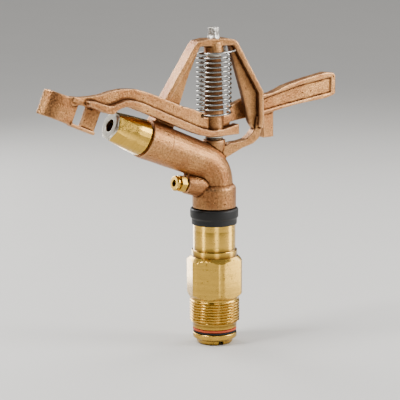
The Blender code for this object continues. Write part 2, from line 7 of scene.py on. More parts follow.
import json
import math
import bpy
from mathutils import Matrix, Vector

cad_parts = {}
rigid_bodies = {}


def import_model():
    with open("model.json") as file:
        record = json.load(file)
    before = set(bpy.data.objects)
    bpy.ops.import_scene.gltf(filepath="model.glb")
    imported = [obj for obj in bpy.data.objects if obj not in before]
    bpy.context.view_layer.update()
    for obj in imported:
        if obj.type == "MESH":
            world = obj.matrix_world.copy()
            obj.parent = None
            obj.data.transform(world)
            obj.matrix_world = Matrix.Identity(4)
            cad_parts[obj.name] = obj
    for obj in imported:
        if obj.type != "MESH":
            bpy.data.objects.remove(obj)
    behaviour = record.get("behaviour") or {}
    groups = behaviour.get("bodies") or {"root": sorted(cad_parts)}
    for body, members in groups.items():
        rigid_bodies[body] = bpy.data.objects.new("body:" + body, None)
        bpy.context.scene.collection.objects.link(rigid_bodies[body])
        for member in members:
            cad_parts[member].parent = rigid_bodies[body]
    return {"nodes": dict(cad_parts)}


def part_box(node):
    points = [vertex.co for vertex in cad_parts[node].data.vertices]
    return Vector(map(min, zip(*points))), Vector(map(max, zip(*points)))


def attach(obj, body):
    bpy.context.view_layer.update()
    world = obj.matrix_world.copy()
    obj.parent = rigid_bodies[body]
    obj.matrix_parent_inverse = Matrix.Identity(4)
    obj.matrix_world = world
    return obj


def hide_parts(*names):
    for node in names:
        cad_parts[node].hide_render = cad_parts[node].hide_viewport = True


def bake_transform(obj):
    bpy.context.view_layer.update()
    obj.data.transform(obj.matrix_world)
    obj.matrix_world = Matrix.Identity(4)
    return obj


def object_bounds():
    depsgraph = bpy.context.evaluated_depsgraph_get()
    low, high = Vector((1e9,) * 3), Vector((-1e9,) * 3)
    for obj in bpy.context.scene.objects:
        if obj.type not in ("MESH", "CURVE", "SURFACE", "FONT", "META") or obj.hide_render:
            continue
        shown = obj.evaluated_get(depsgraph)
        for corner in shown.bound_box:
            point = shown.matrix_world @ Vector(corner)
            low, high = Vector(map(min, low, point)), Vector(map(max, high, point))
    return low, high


bl_info = {
    "name": "Impact Sprinkler",
    "version": (1, 0, 0),
    "blender": (4, 5, 0),
    "location": "3D View > Sidebar > Sprinkler",
    "description": "Builds the finished pieces of an impact sprinkler around its frame",
    "category": "Object",
}

import bmesh
import bpy
import numpy as np
from bpy.props import FloatProperty, FloatVectorProperty, IntProperty, PointerProperty
from mathutils import Matrix, Vector, noise

for leftover in list(bpy.data.objects):
    bpy.data.objects.remove(leftover)
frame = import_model()
cad_low, cad_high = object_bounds()

MM = 0.001
TAU = math.tau

# ---- sizes in millimetres and degrees ----
# Head. The barrel and the spreader leave the turning axis at these heights and slopes.
TRAJECTORY = 22.5
AXIS_Z = 95.2
SPREADER_DEG = 9.0
SPREADER_Z = 84.0
BARREL_LEN = 46.8
BARREL_SKIN_R = (8.8, 10.9)     # points this far from the barrel's axis are on its outside
JOINT_LINE = 34.3               # where the mould's halves met, along the barrel from the turning axis
JOINT_DEPTH = 0.08
JOINT_HALF = 0.45
BRIDGE_Z = 116.0                # above this the head is bridge alone
CROWN_HALF = 6.0                # painted shade on the bridge's inside fades out this near its middle

# Arm. Left and right of the turning axis it bends sideways: by how much, and over what length.
LEFT_BEND = (3.8, 38.0)
RIGHT_BEND = (6.5, 45.0)
# Painted shade on the hub inside the spring: the heights it spans, and over how many mm it fades in.
HUB_SHADE_Z = (122.0, 153.0)
HUB_SHADE_FADE = 3.0
HUB_GAP = 1.2                   # points this far inside the coils belong to the hub
LEDGE_Y = (-4.7, -1.85)         # measured from the arm's bent middle
LEDGE_X = (-79.0, 13.0)

# Nozzles. Each ring of points is a radius, a distance of its flats from the axis, and a height.
NOZZLE_TIP = 68.2
NOZZLE_FLAT_TURN = -12.0        # how far round the nozzle is screwed home
NOZZLE_LEVELS = 15
NOZZLE_FOOT_R, NOZZLE_TAPER = 9.5, 1.8
NOZZLE_FLAT_R, NOZZLE_FLAT_TAPER = 9.9, 3.0
NOZZLE_WORN = 0.99              # depth of the worn face behind the tip
NO_FLATS = 99.0                 # flats out of reach, for a plain round ring

# Inlet. Turned outlines are (radius, height) points.
THREAD_R = 13.2
THREAD_PITCH = 1.45
THREAD_DEPTH = 0.75
THREAD_Z0, THREAD_Z1 = 11.7, 24.3
THREAD_STEPS = 104
CREST_REACH, FLANK_SLOPE = 1.35, 3.1
LEAD_IN_DEPTH, LEAD_IN_SLOPE = 1.1, 1.4
RUNOUT_LEN, RUNOUT_DEPTH = 0.9, 0.35
HEX_FLATS = 27.0
HEX_LAND_R = 14.75
HEX_FOOT_R, HEX_TOP_R = 12.9, 12.3
HEX_CORNER_DEG = 11.3
HEX_Z0, HEX_Z1 = 24.8, 47.0
HEX_CHAMFER = 2.2
HEX_STEPS = 11
SLEEVE_R = 11.15
SLEEVE_FOOT = ((8.6, 8.7), (11.5, 8.7), (11.7, 8.95), (11.7, 10.8), (12.0, 11.2))
SLEEVE_SHOULDER = ((12.0, HEX_Z1 + 0.1), (12.0, 50.1), (11.9, 50.3), (11.35, 50.4), (SLEEVE_R, 50.6))
SLEEVE_MOUTH = ((SLEEVE_R, 66.6), (SLEEVE_R - 0.3, 67.0), (9.8, 67.0), (9.5, 66.7))
SLEEVE_BORE = ((9.5, 48.0), (8.0, 48.0), (8.0, 9.6), (8.6, 9.6))
NECK_GROOVES = (52.4, 61.0)
GROOVE_HALF, GROOVE_DEPTH = 0.22, 0.035
NIPPLE_DOME = ((8.4, 0.0), (9.15, 0.35), (9.6, 1.2), (9.8, 2.0), (10.6, 2.75), (11.4, 3.15), (11.7, 3.6))
NIPPLE_TUBE = ((11.7, 5.5), (11.5, 5.8), (7.7, 5.8), (7.7, 85.0), (7.1, 85.6), (5.6, 85.6), (5.6, 0.3))
SLOT_HALF, SLOT_DEPTH, SLOT_REACH = 1.3, 2.1, 14.0
SLOT_DEG = -103.0
HOOD_OUTLINE = ((11.5, 64.1), (11.9, 64.1), (11.95, 66.9), (12.15, 67.3), (12.7, 67.95), (12.7, 71.9),
                (12.3, 72.5), (8.1, 72.5), (8.1, 71.3), (11.5, 71.3))

# Pins.
PIN_COLLAR_Z = 161.0
PIN_HEAD_Z = 161.4
PIN_DENTS_Z = 161.8
PIN_TURN = 0.35                 # radians the beaten square is turned from X

# Springs.
SPRING_R = 8.9
SPRING_WIRE_R = 0.52
SPRING_FOOT_Z = 121.9
STEEP_TURNS, STEEP_RISE, RISE = 1.3, 2.9, 2.42  # rise of each turn, steeper at the foot
TUCK, TUCK_TURNS = 0.3, 1.5     # how far the last turns draw in, and from how many before the end
TAIL_REACHES = (1.5, 3.0, 4.5, 6.0, 7.2)
TAIL_BEND, TAIL_RISE = 0.016, 0.02
BEARING_SPRING_R = 8.62
BEARING_WIRE_R = 0.5
POINTS_PER_TURN = 32

# How finely and how crisply pieces are made.
SHARP_DEG = 32.0                # edges bent further than this stay crisp
TURN_STEPS = 128
EASE_STEPS, EASE_SHARE = 3, 0.4
WIRE_SIDES = 12
WIRE_END = ((0.0, 1.0), (0.35, 0.85), (0.7, 0.45))  # a domed end: distance past it and radius, in wire radii
LUMPS = ((7.0, 0.6), (1.6, 0.4))  # a casting's lumps: their size and their share


# ---- helpers ----
def linear(code):
    """An sRGB hex colour as linear RGBA."""
    parts = [int(code[i:i + 2], 16) / 255 for i in (1, 3, 5)]
    return (*[c / 12.92 if c <= 0.04045 else ((c + 0.055) / 1.055) ** 2.4 for c in parts], 1.0)


def rgb(code):
    """The default of a colour property, from an sRGB hex colour."""
    return linear(code)[:3]


def per_mm(size):
    """Pattern scale that makes one feature about size millimetres across."""
    return 1.0 / (size * MM)


def add(tree, kind, inputs=None, **settings):
    """Adds a node, sets its properties, and fills or links its input sockets."""
    made = tree.nodes.new(kind)
    for key, value in settings.items():
        setattr(made, key, value)
    for key, value in (inputs or {}).items():
        if isinstance(value, bpy.types.NodeSocket):
            tree.links.new(value, made.inputs[key])
        else:
            made.inputs[key].default_value = value
    return made


def along_axis(degrees, foot_z):
    """Local +Z becomes a line towards -X raised by degrees, from the turning axis."""
    return Matrix.Translation((0, 0, foot_z * MM)) @ Matrix.Rotation(math.radians(degrees - 90), 4, "Y")


def finish_mesh(obj, material, sharp):
    """Outward faces, smooth shading with crisp edges, and the piece's first material."""
    bm = bmesh.new()
    bm.from_mesh(obj.data)
    bmesh.ops.remove_doubles(bm, verts=bm.verts, dist=1e-7)
    bmesh.ops.recalc_face_normals(bm, faces=bm.faces)
    bm.to_mesh(obj.data)
    bm.free()
    obj.data.materials.append(material)
    obj.data.shade_smooth()
    obj.data.set_sharp_from_angle(angle=math.radians(sharp))


def skin(name, rings, material, matrix=None, closed=False, sharp=SHARP_DEG):
    """A piece from equal-length closed rings of points in mm; its ends capped or joined up."""
    count = len(rings[0])
    verts = [Vector(p) * MM for ring in rings for p in ring]
    faces = []
    for i in range(len(rings) if closed else len(rings) - 1):
        a, b = i * count, ((i + 1) % len(rings)) * count
        faces += [(a + j, a + (j + 1) % count, b + (j + 1) % count, b + j) for j in range(count)]
    if not closed:
        faces.append(tuple(reversed(range(count))))
        faces.append(tuple(range((len(rings) - 1) * count, len(rings) * count)))
    mesh = bpy.data.meshes.new(name)
    mesh.from_pydata(verts, [], faces)
    obj = bpy.data.objects.new(name, mesh)
    bpy.context.scene.collection.objects.link(obj)
    finish_mesh(obj, material, sharp)
    if matrix is not None:
        obj.matrix_world = matrix
    return obj


def eased(outline, radius):
    """Rounds every corner of a closed outline of (radius, height) points."""
    out = []
    for i, here in enumerate(outline):
        corner = Vector(here)
        before, after = Vector(outline[i - 1]) - corner, Vector(outline[(i + 1) % len(outline)]) - corner
        start = corner + before.normalized() * min(radius, before.length * EASE_SHARE)
        end = corner + after.normalized() * min(radius, after.length * EASE_SHARE)
        for s in range(EASE_STEPS + 1):
            t = s / EASE_STEPS
            out.append(tuple(start * (1 - t) ** 2 + corner * 2 * t * (1 - t) + end * t * t))
    return out


def lathe(name, outline_at, material, steps=TURN_STEPS, start=0.0, sharp=SHARP_DEG):
    """Turns a closed outline about Z; outline_at gives its (radius, height) points at an angle."""
    rings = []
    for i in range(steps):
        a = start + TAU * i / steps
        rings.append([(r * math.cos(a), r * math.sin(a), z) for r, z in outline_at(a)])
    return skin(name, rings, material, closed=True, sharp=sharp)


def ring_piece(name, outline, material, ease):
    """A plainly turned piece with eased corners."""
    rounded = eased(outline, ease)
    return lathe(name, lambda angle: rounded, material)


def wire(name, path, radius, material):
    """A round wire along points in mm, its ends domed."""
    points = [Vector(p) for p in path]
    last = len(points) - 1
    angles = [TAU * k / WIRE_SIDES for k in range(WIRE_SIDES)]
    rings = []
    side = Vector((0, 0, 1))
    for i, p in enumerate(points):
        along = (points[min(i + 1, last)] - points[max(i - 1, 0)]).normalized()
        across = (side - along * side.dot(along)).normalized()
        other = along.cross(across)
        if i == 0:
            places = [(-past, share) for past, share in reversed(WIRE_END)]
        else:
            places = WIRE_END if i == last else WIRE_END[:1]
        spokes = [across * math.cos(a) + other * math.sin(a) for a in angles]
        for shift, share in places:
            centre = p + along * shift * radius
            rings.append([tuple(centre + spoke * radius * share) for spoke in spokes])
        side = across
    return skin(name, rings, material, sharp=60.0)


def evaluated_mesh(obj):
    """Replaces the object's mesh by the one its modifiers give."""
    graph = bpy.context.evaluated_depsgraph_get()
    mesh = bpy.data.meshes.new_from_object(obj.evaluated_get(graph), depsgraph=graph)
    obj.modifiers.clear()
    obj.data = mesh


def mark_hollows(obj, spread=2, gain=6.0, painted_shade=None):
    """Stores how hollow and how raised each point is, for painted shade and dirt in corners and a painted
    highlight and wear on edges.

    Its last argument is shade painted elsewhere than in corners, from 0 to 1 for each point.
    """
    creep_passes, creep_share, corner_gain = 3, 0.8, 2.2
    mesh = obj.data
    count = len(mesh.vertices)
    co = np.empty(count * 3)
    mesh.vertices.foreach_get("co", co)
    co = co.reshape(-1, 3)
    normal = np.empty(count * 3)
    mesh.vertices.foreach_get("normal", normal)
    normal = normal.reshape(-1, 3)
    ends = np.empty(len(mesh.edges) * 2, dtype=np.int64)
    mesh.edges.foreach_get("vertices", ends)
    a, b = ends.reshape(-1, 2).T
    painted_shade = np.zeros(count) if painted_shade is None else painted_shade
    degree = np.maximum(np.bincount(a, minlength=count) + np.bincount(b, minlength=count), 1)

    def mean_of_neighbours(values):
        total = np.bincount(a, values[b], count) + np.bincount(b, values[a], count)
        return total / degree

    # The painted shade spreads about a millimetre past where it is set, and thins out.
    for _ in range(creep_passes):
        crept = painted_shade.copy()
        np.maximum.at(crept, a, painted_shade[b] * creep_share)
        np.maximum.at(crept, b, painted_shade[a] * creep_share)
        painted_shade = crept

    offset = np.stack([mean_of_neighbours(co[:, k]) for k in range(3)], axis=1) - co
    length = mean_of_neighbours(np.ones(count)) * np.linalg.norm(co[a] - co[b], axis=1).mean()
    bend = (offset * normal).sum(axis=1) / length
    for _ in range(spread):
        bend = 0.5 * bend + 0.5 * mean_of_neighbours(bend)
    # Hollow points get painted shade and dirt; raised points get a painted highlight and wear.
    for label, sign in (("shade_and_dirt", 1.0), ("highlight_and_wear", -1.0)):
        amount = np.clip(sign * bend * gain, 0.0, 1.0)
        if label == "shade_and_dirt":
            # Painted shade and dirt fill a corner sooner than the painted highlight and wear brighten an
            # edge.
            amount = np.maximum(np.clip(amount * corner_gain, 0.0, 1.0), painted_shade)
        layer = mesh.attributes.new(label, "FLOAT", "POINT")
        layer.data.foreach_set("value", amount.astype(np.float32))


def head_detail(place, out):
    """The mould's joint line round the barrel, and painted shade on the inner faces of the bridge: depth in
    mm, and painted shade.
    """
    # The inner faces of the bridge's legs are darkened as painted shade, most on the right leg.
    left_shade, right_shade = 0.12, 0.8
    if place.z > BRIDGE_Z:
        inward = max(0.0, -out.x * math.copysign(1.0, place.x)) * min(1.0, abs(place.x) / CROWN_HALF)
        return 0.0, inward * (right_shade if place.x > 0 else left_shade)
    slope = math.radians(TRAJECTORY)
    along = (place.z - AXIS_Z) * math.sin(slope) - place.x * math.cos(slope)
    across = (place.z - AXIS_Z) * math.cos(slope) + place.x * math.sin(slope)
    if not BARREL_SKIN_R[0] < math.hypot(place.y, across) < BARREL_SKIN_R[1]:
        return 0.0, 0.0
    return JOINT_DEPTH * math.exp(-((along - JOINT_LINE) / JOINT_HALF) ** 2), 0.0


def arm_detail(place, out):
    """Painted shade on the hub inside the spring and along the top of the ledge: depth in mm, and painted
    shade.
    """
    hub_shade, ledge_shade, facing_up = 0.72, 0.85, 0.2
    # The hub inside the coils is darkened as painted shade.
    inside = math.hypot(place.x, place.y) < SPRING_R - HUB_GAP
    within = min(place.z - HUB_SHADE_Z[0], HUB_SHADE_Z[1] - place.z)
    on_hub = hub_shade * min(1.0, max(0.0, within / HUB_SHADE_FADE)) * inside
    # The arm bends sideways, to pass before one leg of the bridge and behind the other.
    sideways, length = LEFT_BEND if place.x < 0 else RIGHT_BEND
    from_middle = place.y - sideways * math.tanh(place.x / length)
    # The ledge's top face, along the foot of the web, is darkened as a painted shadow.
    beside = LEDGE_Y[0] < from_middle < LEDGE_Y[1] and LEDGE_X[0] < place.x < LEDGE_X[1]
    return 0.0, max(on_hub, ledge_shade * (beside and out.z > facing_up))


def casting(node, name, material, settings, detail):
    """A casting's own skin: edges and inside corners rounded as a sand mould leaves them, slightly uneven."""
    obj = bpy.data.objects.new(name, frame["nodes"][node].data.copy())
    bpy.context.scene.collection.objects.link(obj)
    obj.data.materials.clear()
    bm = bmesh.new()
    bm.from_mesh(obj.data)
    bmesh.ops.remove_doubles(bm, verts=bm.verts, dist=1e-6)
    bm.to_mesh(obj.data)
    bm.free()
    even = obj.modifiers.new("even skin", "REMESH")
    even.mode = "VOXEL"
    even.voxel_size = settings.voxel
    round_off = obj.modifiers.new("mould rounding", "SMOOTH")
    round_off.factor = 0.5
    round_off.iterations = settings.rounding
    evaluated_mesh(obj)
    normals = [v.normal.copy() for v in obj.data.vertices]
    painted_shade = []
    for vert, out in zip(obj.data.vertices, normals):
        place = vert.co / MM
        swell = sum(noise.noise(place / size) * share for size, share in LUMPS)
        # detail gives a depth to cut and an amount of painted shade.
        cut, darkening = detail(place, out)
        painted_shade.append(darkening)
        vert.co += out * (swell * settings.unevenness - cut * MM)
    obj.data.materials.append(material)
    obj.data.shade_smooth()
    mark_hollows(obj, painted_shade=np.array(painted_shade))
    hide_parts(node)
    return obj


# ---- materials ----
def principled(name, constants):
    """A new material with constant values on its shader, its tree, its shader and object coordinates."""
    made = bpy.data.materials.new(name)
    made.use_nodes = True
    tree = made.node_tree
    shader = tree.nodes["Principled BSDF"]
    for key, value in constants.items():
        shader.inputs[key].default_value = value
    return made, tree, shader, add(tree, "ShaderNodeTexCoord").outputs["Object"]


def sand_cast_bronze(colours):
    """Gunmetal bronze, sand cast and tumbled: a satin pink-tan skin with grain, pits, hollows darkened by
    painted shade and dirt, and edges brightened by a painted highlight and wear.
    """
    made, tree, shader, place = principled("sand_cast_bronze", {"Metallic": 1.0})
    # Heat tints the skin in patches about 14 mm across, from tan to copper pink.
    patches = add(tree, "ShaderNodeTexNoise", {"Vector": place, "Scale": per_mm(14.0), "Detail": 3.0})
    tint = add(tree, "ShaderNodeMapRange", {
        "Value": patches.outputs["Fac"], "From Min": 0.38, "From Max": 0.62})
    skin_colour = add(tree, "ShaderNodeMix", {
        0: tint.outputs[0], 6: (*colours.bronze, 1.0), 7: linear("#A06C42")}, data_type="RGBA")
    # The sand's grit is 0.2 mm and is drawn at 0.85 mm, because the finer grain wouldn't show.
    grit = add(tree, "ShaderNodeTexNoise", {
        "Vector": place, "Scale": per_mm(0.85), "Detail": 2.0, "Roughness": 0.6})
    speck = add(tree, "ShaderNodeMapRange", {
        "Value": grit.outputs["Fac"], "From Min": 0.34, "From Max": 0.66, "To Min": 0.68, "To Max": 1.3})
    speckled = add(tree, "ShaderNodeVectorMath", {
        0: skin_colour.outputs[2], 1: (1.0, 1.0, 1.0), "Scale": speck.outputs[0]}, operation="SCALE")
    # Gas pits up to 0.7 mm across, in about half the cells of a 3 mm grid.
    cells = add(tree, "ShaderNodeTexVoronoi", {"Vector": place, "Scale": per_mm(3.0)})
    rare = add(tree, "ShaderNodeSeparateColor", {"Color": cells.outputs["Color"]})
    chosen = add(tree, "ShaderNodeMapRange", {"Value": rare.outputs[0], "From Min": 0.5, "From Max": 0.6})
    dot = add(tree, "ShaderNodeMapRange", {
        "Value": cells.outputs["Distance"], "From Min": 0.07, "From Max": 0.15, "To Min": 1.0, "To Max": 0.0})
    pit = add(tree, "ShaderNodeMath", {0: chosen.outputs[0], 1: dot.outputs[0]}, operation="MULTIPLY")
    # Inside corners are darkened brown by painted shade and dirt, and raised edges brightened by a painted
    # highlight and the rubbing of tumbling.
    shade_and_dirt = add(tree, "ShaderNodeAttribute", attribute_name="shade_and_dirt")
    highlight_and_wear = add(tree, "ShaderNodeAttribute", attribute_name="highlight_and_wear")
    shade_dirt_and_pits = add(tree, "ShaderNodeMath", {0: shade_and_dirt.outputs["Fac"], 1: pit.outputs[0]}, operation="MAXIMUM")
    # The dark brown paints shade and dirt into hollows, and darkens the pits.
    dark = add(tree, "ShaderNodeMix", {
        0: shade_dirt_and_pits.outputs[0], 6: speckled.outputs[0], 7: linear("#56301A")}, data_type="RGBA")
    # The pale tan paints a highlight, with wear, on raised edges.
    highlight_and_wear_share = add(tree, "ShaderNodeMath", {0: highlight_and_wear.outputs["Fac"], 1: 0.7}, operation="MULTIPLY")
    highlit_and_rubbed = add(tree, "ShaderNodeMix", {
        0: highlight_and_wear_share.outputs[0], 6: dark.outputs[2], 7: linear("#DFB184")}, data_type="RGBA")
    tree.links.new(highlit_and_rubbed.outputs[2], shader.inputs["Base Color"])
    sheen = add(tree, "ShaderNodeMapRange", {
        "Value": grit.outputs["Fac"], "From Min": 0.3, "From Max": 0.7, "To Min": 0.34, "To Max": 0.54})
    # Painted shade and dirt are made dull, so hollows stay dark when seen at a glancing angle too.
    dull = add(tree, "ShaderNodeMath", {
        0: shade_dirt_and_pits.outputs[0], 1: 0.5, 2: sheen.outputs[0]}, operation="MULTIPLY_ADD", use_clamp=True)
    tree.links.new(dull.outputs[0], shader.inputs["Roughness"])
    lumps = add(tree, "ShaderNodeMath", {
        0: pit.outputs[0], 1: -1.5, 2: grit.outputs["Fac"]}, operation="MULTIPLY_ADD")
    relief = add(tree, "ShaderNodeBump", {"Height": lumps.outputs[0], "Distance": 0.0003, "Strength": 0.8})
    tree.links.new(relief.outputs[0], shader.inputs["Normal"])
    return made


def turned_brass(name, colour, ring_size, roughness, depth):
    """Free-cutting brass off the lathe: bright yellow, with fine rings and a few brown marks."""
    made, tree, shader, place = principled(name, {"Metallic": 1.0})
    # Tool rings are 0.1 mm apart in life and are drawn wider, so that they show.
    squeeze = add(tree, "ShaderNodeMapping", {"Vector": place, "Scale": (20.0, 20.0, per_mm(ring_size))})
    rings = add(tree, "ShaderNodeTexNoise", {"Vector": squeeze.outputs[0], "Scale": 1.0, "Detail": 3.0})
    tone = add(tree, "ShaderNodeMapRange", {
        "Value": rings.outputs["Fac"], "From Min": 0.35, "From Max": 0.65, "To Min": 0.9, "To Max": 1.05})
    toned = add(tree, "ShaderNodeVectorMath", {
        0: tuple(colour), "Scale": tone.outputs[0]}, operation="SCALE")
    # Handling marks: brown tarnish in spots about 2.5 mm across.
    spots = add(tree, "ShaderNodeTexNoise", {
        "Vector": place, "Scale": per_mm(2.5), "Detail": 5.0, "Roughness": 0.7})
    stain = add(tree, "ShaderNodeMapRange", {
        "Value": spots.outputs["Fac"], "From Min": 0.6, "From Max": 0.7, "To Min": 0.0, "To Max": 0.6})
    # Hollows, such as the thread's roots, are darkened by painted shade and dirt, along with the tarnish.
    shade_and_dirt = add(tree, "ShaderNodeAttribute", attribute_name="shade_and_dirt")
    darkening = add(tree, "ShaderNodeMath", {0: stain.outputs[0], 1: shade_and_dirt.outputs["Fac"]}, operation="MAXIMUM")
    stained_and_shaded = add(tree, "ShaderNodeMix", {
        0: darkening.outputs[0], 6: toned.outputs[0], 7: linear("#5E3E14")}, data_type="RGBA")
    tree.links.new(stained_and_shaded.outputs[2], shader.inputs["Base Color"])
    gloss = add(tree, "ShaderNodeMapRange", {
        "Value": spots.outputs["Fac"], "From Min": 0.3, "From Max": 0.75,
        "To Min": roughness, "To Max": roughness + 0.16})
    tree.links.new(gloss.outputs[0], shader.inputs["Roughness"])
    relief = add(tree, "ShaderNodeBump", {
        "Height": rings.outputs["Fac"], "Distance": depth, "Strength": 0.6})
    tree.links.new(relief.outputs[0], shader.inputs["Normal"])
    return made


def steel(name, dull, bright, gloss, depth):
    """Stainless steel: two close greys, with an unevenness that its last working leaves."""
    made, tree, shader, place = principled(name, {"Metallic": 1.0})
    streaks = add(tree, "ShaderNodeTexNoise", {"Vector": place, "Scale": per_mm(1.1), "Detail": 4.0})
    mottle = add(tree, "ShaderNodeMapRange", {
        "Value": streaks.outputs["Fac"], "From Min": 0.38, "From Max": 0.62})
    tone = add(tree, "ShaderNodeMix", {
        0: mottle.outputs[0], 6: linear(dull), 7: linear(bright)}, data_type="RGBA")
    tree.links.new(tone.outputs[2], shader.inputs["Base Color"])
    sheen = add(tree, "ShaderNodeMapRange", {
        "Value": streaks.outputs["Fac"], "To Min": gloss - 0.06, "To Max": gloss + 0.1})
    tree.links.new(sheen.outputs[0], shader.inputs["Roughness"])
    relief = add(tree, "ShaderNodeBump", {
        "Height": streaks.outputs["Fac"], "Distance": depth, "Strength": 0.6})
    tree.links.new(relief.outputs[0], shader.inputs["Normal"])
    return made


def moulded(name, low, high, grain, roughness, depth):
    """A moulded or die-cut polymer: two close tones, a fine skin texture and no metal."""
    made, tree, shader, place = principled(name, {"Metallic": 0.0, "IOR": 1.45})
    skin_noise = add(tree, "ShaderNodeTexNoise", {
        "Vector": place, "Scale": per_mm(grain), "Detail": 4.0, "Roughness": 0.6})
    tone = add(tree, "ShaderNodeMix", {
        0: skin_noise.outputs["Fac"], 6: linear(low), 7: linear(high)}, data_type="RGBA")
    tree.links.new(tone.outputs[2], shader.inputs["Base Color"])
    gloss = add(tree, "ShaderNodeMapRange", {
        "Value": skin_noise.outputs["Fac"], "To Min": roughness - 0.08, "To Max": roughness + 0.08})
    tree.links.new(gloss.outputs[0], shader.inputs["Roughness"])
    relief = add(tree, "ShaderNodeBump", {
        "Height": skin_noise.outputs["Fac"], "Distance": depth, "Strength": 0.6})
    tree.links.new(relief.outputs[0], shader.inputs["Normal"])
    return made


FINISHES = {}
RECORD_SLOT = {"shade_darkened_steel": "stainless_steel"}


def finish_of(slot):
    """The material of a record slot, made once."""
    if slot not in FINISHES:
        look = bpy.context.scene.sprinkler_finish
        makers = {
            "cast_bronze": lambda: sand_cast_bronze(look),
            # Turned stock: rings 0.9 mm apart as drawn, bright and smooth.
            "turned_brass": lambda: turned_brass("turned_brass", look.brass, 0.9, 0.17, 0.000004),
            # The nozzle's mouth, worn dull and pale by the water.
            "worn_brass": lambda: turned_brass("water_worn_brass", rgb("#B4AEA0"), 0.9, 0.38, 0.00004),
            # Spring wire and bar, drawn: bright, with a faint mottle from the die.
            "stainless_steel": lambda: steel("drawn_stainless_steel", "#8C8A85", "#ACAAA5", 0.19, 0.000003),
            # The same steel beaten cold: dull, pale and dimpled.
            "beaten_steel": lambda: steel("beaten_stainless_steel", "#8F8A82", "#D9D5CD", 0.44, 0.0001),
            # A running washer, darkened brown as painted shade under the arm's hub.
            "shade_darkened_steel": lambda: steel("shade_darkened_stainless_steel", "#5C4A38", "#86705A", 0.44, 0.00003),
            # Glass-filled nylon, moulded: near black with a satin skin.
            "black_plastic": lambda: moulded("moulded_black_nylon", "#060606", "#0D0C0C", 0.8, 0.5, 0.00004),
            # Nitrile rubber, die cut: matte black.
            "black_rubber": lambda: moulded("nitrile_rubber", "#0B0A0A", "#131212", 0.6, 0.68, 0.00005),
            # Vulcanised fibre, die cut: orange red and dry.
            "red_fibre": lambda: moulded("vulcanised_fibre", "#A83C18", "#CC5428", 0.5, 0.6, 0.00005),
            # PTFE, skived: waxy white.
            "white_ptfe": lambda: moulded("skived_ptfe", "#DAD9D3", "#EFEEE9", 1.5, 0.34, 0.00002),
            # Acetal, moulded: milky off-white with a soft gloss.
            "natural_acetal": lambda: moulded("moulded_acetal", "#D5D0BF", "#E6E2D3", 1.8, 0.36, 0.00002),
        }
        FINISHES[slot] = makers[slot]()
    return FINISHES[slot]


# ---- settings ----
class SprinklerFinish(bpy.types.PropertyGroup):
    bronze: FloatVectorProperty(
        name="Bronze", description="Colour of the sand-cast skin", subtype="COLOR", min=0.0, max=1.0,
        default=rgb("#BC8956"))
    brass: FloatVectorProperty(
        name="Brass", description="Colour of the turned brass", subtype="COLOR", min=0.0, max=1.0,
        default=rgb("#C49C42"))


class SprinklerCasting(bpy.types.PropertyGroup):
    voxel: FloatProperty(
        name="Skin spacing", description="Spacing of the casting's mesh points", unit="LENGTH",
        default=0.34 * MM, min=0.2 * MM, max=2.0 * MM)
    rounding: IntProperty(
        name="Rounding passes", description="How much the mould rounds edges and corners",
        default=4, min=0, max=40)
    unevenness: FloatProperty(
        name="Unevenness", description="Height of the casting's lumps", unit="LENGTH",
        default=0.09 * MM, min=0.0, max=1.0 * MM)


class SprinklerSprings(bpy.types.PropertyGroup):
    arm_turns: FloatProperty(
        name="Arm spring turns", description="Turns of the torsion spring", default=13.3, min=4.0, max=30.0)
    bearing_turns: FloatProperty(
        name="Bearing spring turns", description="Turns of the compression spring",
        default=5.0, min=2.0, max=12.0)


class SprinklerStage(bpy.types.PropertyGroup):
    floor: FloatVectorProperty(
        name="Floor", description="Colour of the floor", subtype="COLOR", min=0.0, max=1.0,
        default=rgb("#B9B7B3"))
    key_power: FloatProperty(
        name="Key light", description="Power of the light high on the left",
        unit="POWER", default=8.0, min=0.0)
    rim_power: FloatProperty(
        name="Rim light", description="Power of the light behind on the left",
        unit="POWER", default=4.0, min=0.0)
    fill_power: FloatProperty(
        name="Fill light", description="Power of the light on the right",
        unit="POWER", default=5.0, min=0.0)
    low_power: FloatProperty(
        name="Low light", description="Power of the low light in front on the right",
        unit="POWER", default=0.9, min=0.0)
    back_power: FloatProperty(
        name="Back light", description="Power of the light behind on the right",
        unit="POWER", default=3.0, min=0.0)
    wash_power: FloatProperty(
        name="Floor wash", description="Power of the light over the floor alone",
        unit="POWER", default=280.0, min=0.0)
    strip_power: FloatProperty(
        name="Strips", description="Brightness of the strips round the brass stem", default=1.0, min=0.0)
    top_power: FloatProperty(
        name="Top light", description="Power of the overhead light",
        unit="POWER", default=85.0, min=0.0)


# ---- pieces ----
def stand_for(obj, body, slot, *nodes):
    """Puts a finished piece on its body in place of CAD nodes."""
    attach(obj, body)
    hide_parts(*nodes)


class SPRINKLER_OT_castings(bpy.types.Operator):
    """Cast head and drive arm"""

    bl_idname = "sprinkler.castings"
    bl_label = "Castings"

    def execute(self, context):
        settings = context.scene.sprinkler_casting
        bronze = finish_of("cast_bronze")
        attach(casting("sprinkler_body", "head_casting", bronze, settings, head_detail), "head")
        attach(casting("drive_arm", "arm_casting", bronze, settings, arm_detail), "arm")
        return {"FINISHED"}


def thread_radius(z, angle):
    """Radius of the male thread: a right-handed helix with flattened crests and rounded roots."""
    phase = ((z - THREAD_Z0) / THREAD_PITCH - angle / TAU) % 1.0
    rise = min(1.0, max(0.0, CREST_REACH - abs(phase - 0.5) * FLANK_SLOPE))
    groove = THREAD_DEPTH * (1.0 - rise * rise * (3 - 2 * rise))
    lead_in = THREAD_R - LEAD_IN_DEPTH + (z - THREAD_Z0) * LEAD_IN_SLOPE
    runout = min(1.0, max(0.0, (THREAD_Z1 - z) / RUNOUT_LEN))
    return min(THREAD_R - groove * runout - RUNOUT_DEPTH * (1 - runout), lead_in)


